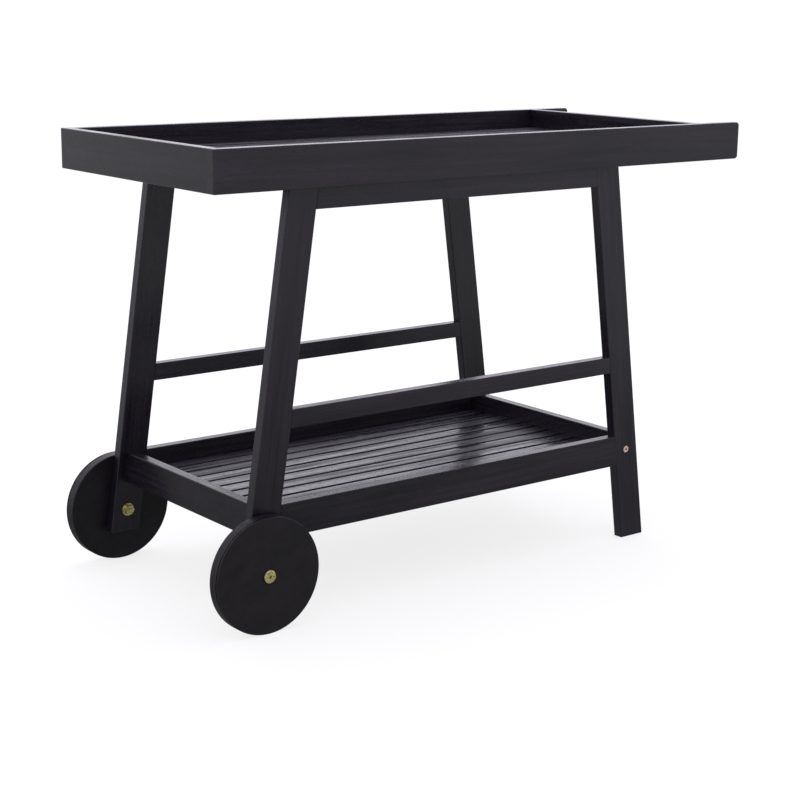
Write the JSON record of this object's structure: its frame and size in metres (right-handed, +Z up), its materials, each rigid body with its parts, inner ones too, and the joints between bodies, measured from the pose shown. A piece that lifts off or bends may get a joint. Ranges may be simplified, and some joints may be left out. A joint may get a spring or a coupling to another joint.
{
  "type": "bar cart on wheels",
  "caption": "Black wooden bar cart: slatted tray top with handle ends, slatted lower shelf, splayed side frames and wheels at one end.",
  "frame": {"origin": "on the floor, below the middle of the cart's box", "axes": "+X along the cart towards the handles, +Y across the cart to its back, +Z up"},
  "size_m": [1.2192, 0.5336, 0.8103],
  "materials": {
    "black_wood": "black stained, satin, fine open grain",
    "wheel_wood": "black stained, satin",
    "bush_plastic": "black moulded",
    "spacer_plastic": "black moulded",
    "axle_metal": "yellow plated, satin",
    "frame_bolt_metal": "coppery plated, satin",
    "screw_metal": "dark plated"
  },
  "bodies": {
    "cart_frame": {"axle_bolts": "axle_metal", "axle_nuts": "axle_metal", "axle_spacers": "spacer_plastic", "axle_washers": "axle_metal", "back_apron": "black_wood", "back_foot_leg": "black_wood", "back_mid_rail": "black_wood", "back_shelf_rail": "black_wood", "back_tray_rail": "black_wood", "back_wheel_leg": "black_wood", "barrel_nuts": "frame_bolt_metal", "frame_bolts": "frame_bolt_metal", "front_apron": "black_wood", "front_foot_leg": "black_wood", "front_mid_rail": "black_wood", "front_shelf_rail": "black_wood", "front_tray_rail": "black_wood", "front_wheel_leg": "black_wood", "left_end_panel": "black_wood", "right_end_panel": "black_wood", "shelf_batten_1": "black_wood", "shelf_batten_2": "black_wood", "shelf_batten_3": "black_wood", "shelf_foot_end_rail": "black_wood", "shelf_slat_01": "black_wood", "shelf_slat_02": "black_wood", "shelf_slat_03": "black_wood", "shelf_slat_04": "black_wood", "shelf_slat_05": "black_wood", "shelf_slat_06": "black_wood", "shelf_slat_07": "black_wood", "shelf_slat_08": "black_wood", "shelf_slat_09": "black_wood", "shelf_slat_10": "black_wood", "shelf_slat_11": "black_wood", "shelf_wheel_end_rail": "black_wood", "slat_screws": "screw_metal", "tray_batten_1": "black_wood", "tray_batten_2": "black_wood", "tray_batten_3": "black_wood", "tray_batten_4": "black_wood", "tray_screws": "screw_metal", "tray_slat_01": "black_wood", "tray_slat_02": "black_wood", "tray_slat_03": "black_wood", "tray_slat_04": "black_wood", "tray_slat_05": "black_wood", "tray_slat_06": "black_wood", "tray_slat_07": "black_wood", "tray_slat_08": "black_wood", "tray_slat_09": "black_wood", "tray_slat_10": "black_wood", "tray_slat_11": "black_wood", "tray_slat_12": "black_wood"},
    "front_wheel": {"front_wheel": "wheel_wood", "front_wheel_bush": "bush_plastic"},
    "back_wheel": {"back_wheel": "wheel_wood", "back_wheel_bush": "bush_plastic"}
  },
  "joints": [
    {"name": "front_wheel_spin", "type": "hinge", "parent": "cart_frame", "child": "front_wheel", "pos_m": [-0.508, -0.2505, 0.1016], "axis": [0, 1, 0], "continuous": true},
    {"name": "back_wheel_spin", "type": "hinge", "parent": "cart_frame", "child": "back_wheel", "pos_m": [-0.508, 0.2505, 0.1016], "axis": [0, 1, 0], "continuous": true}
  ]
}
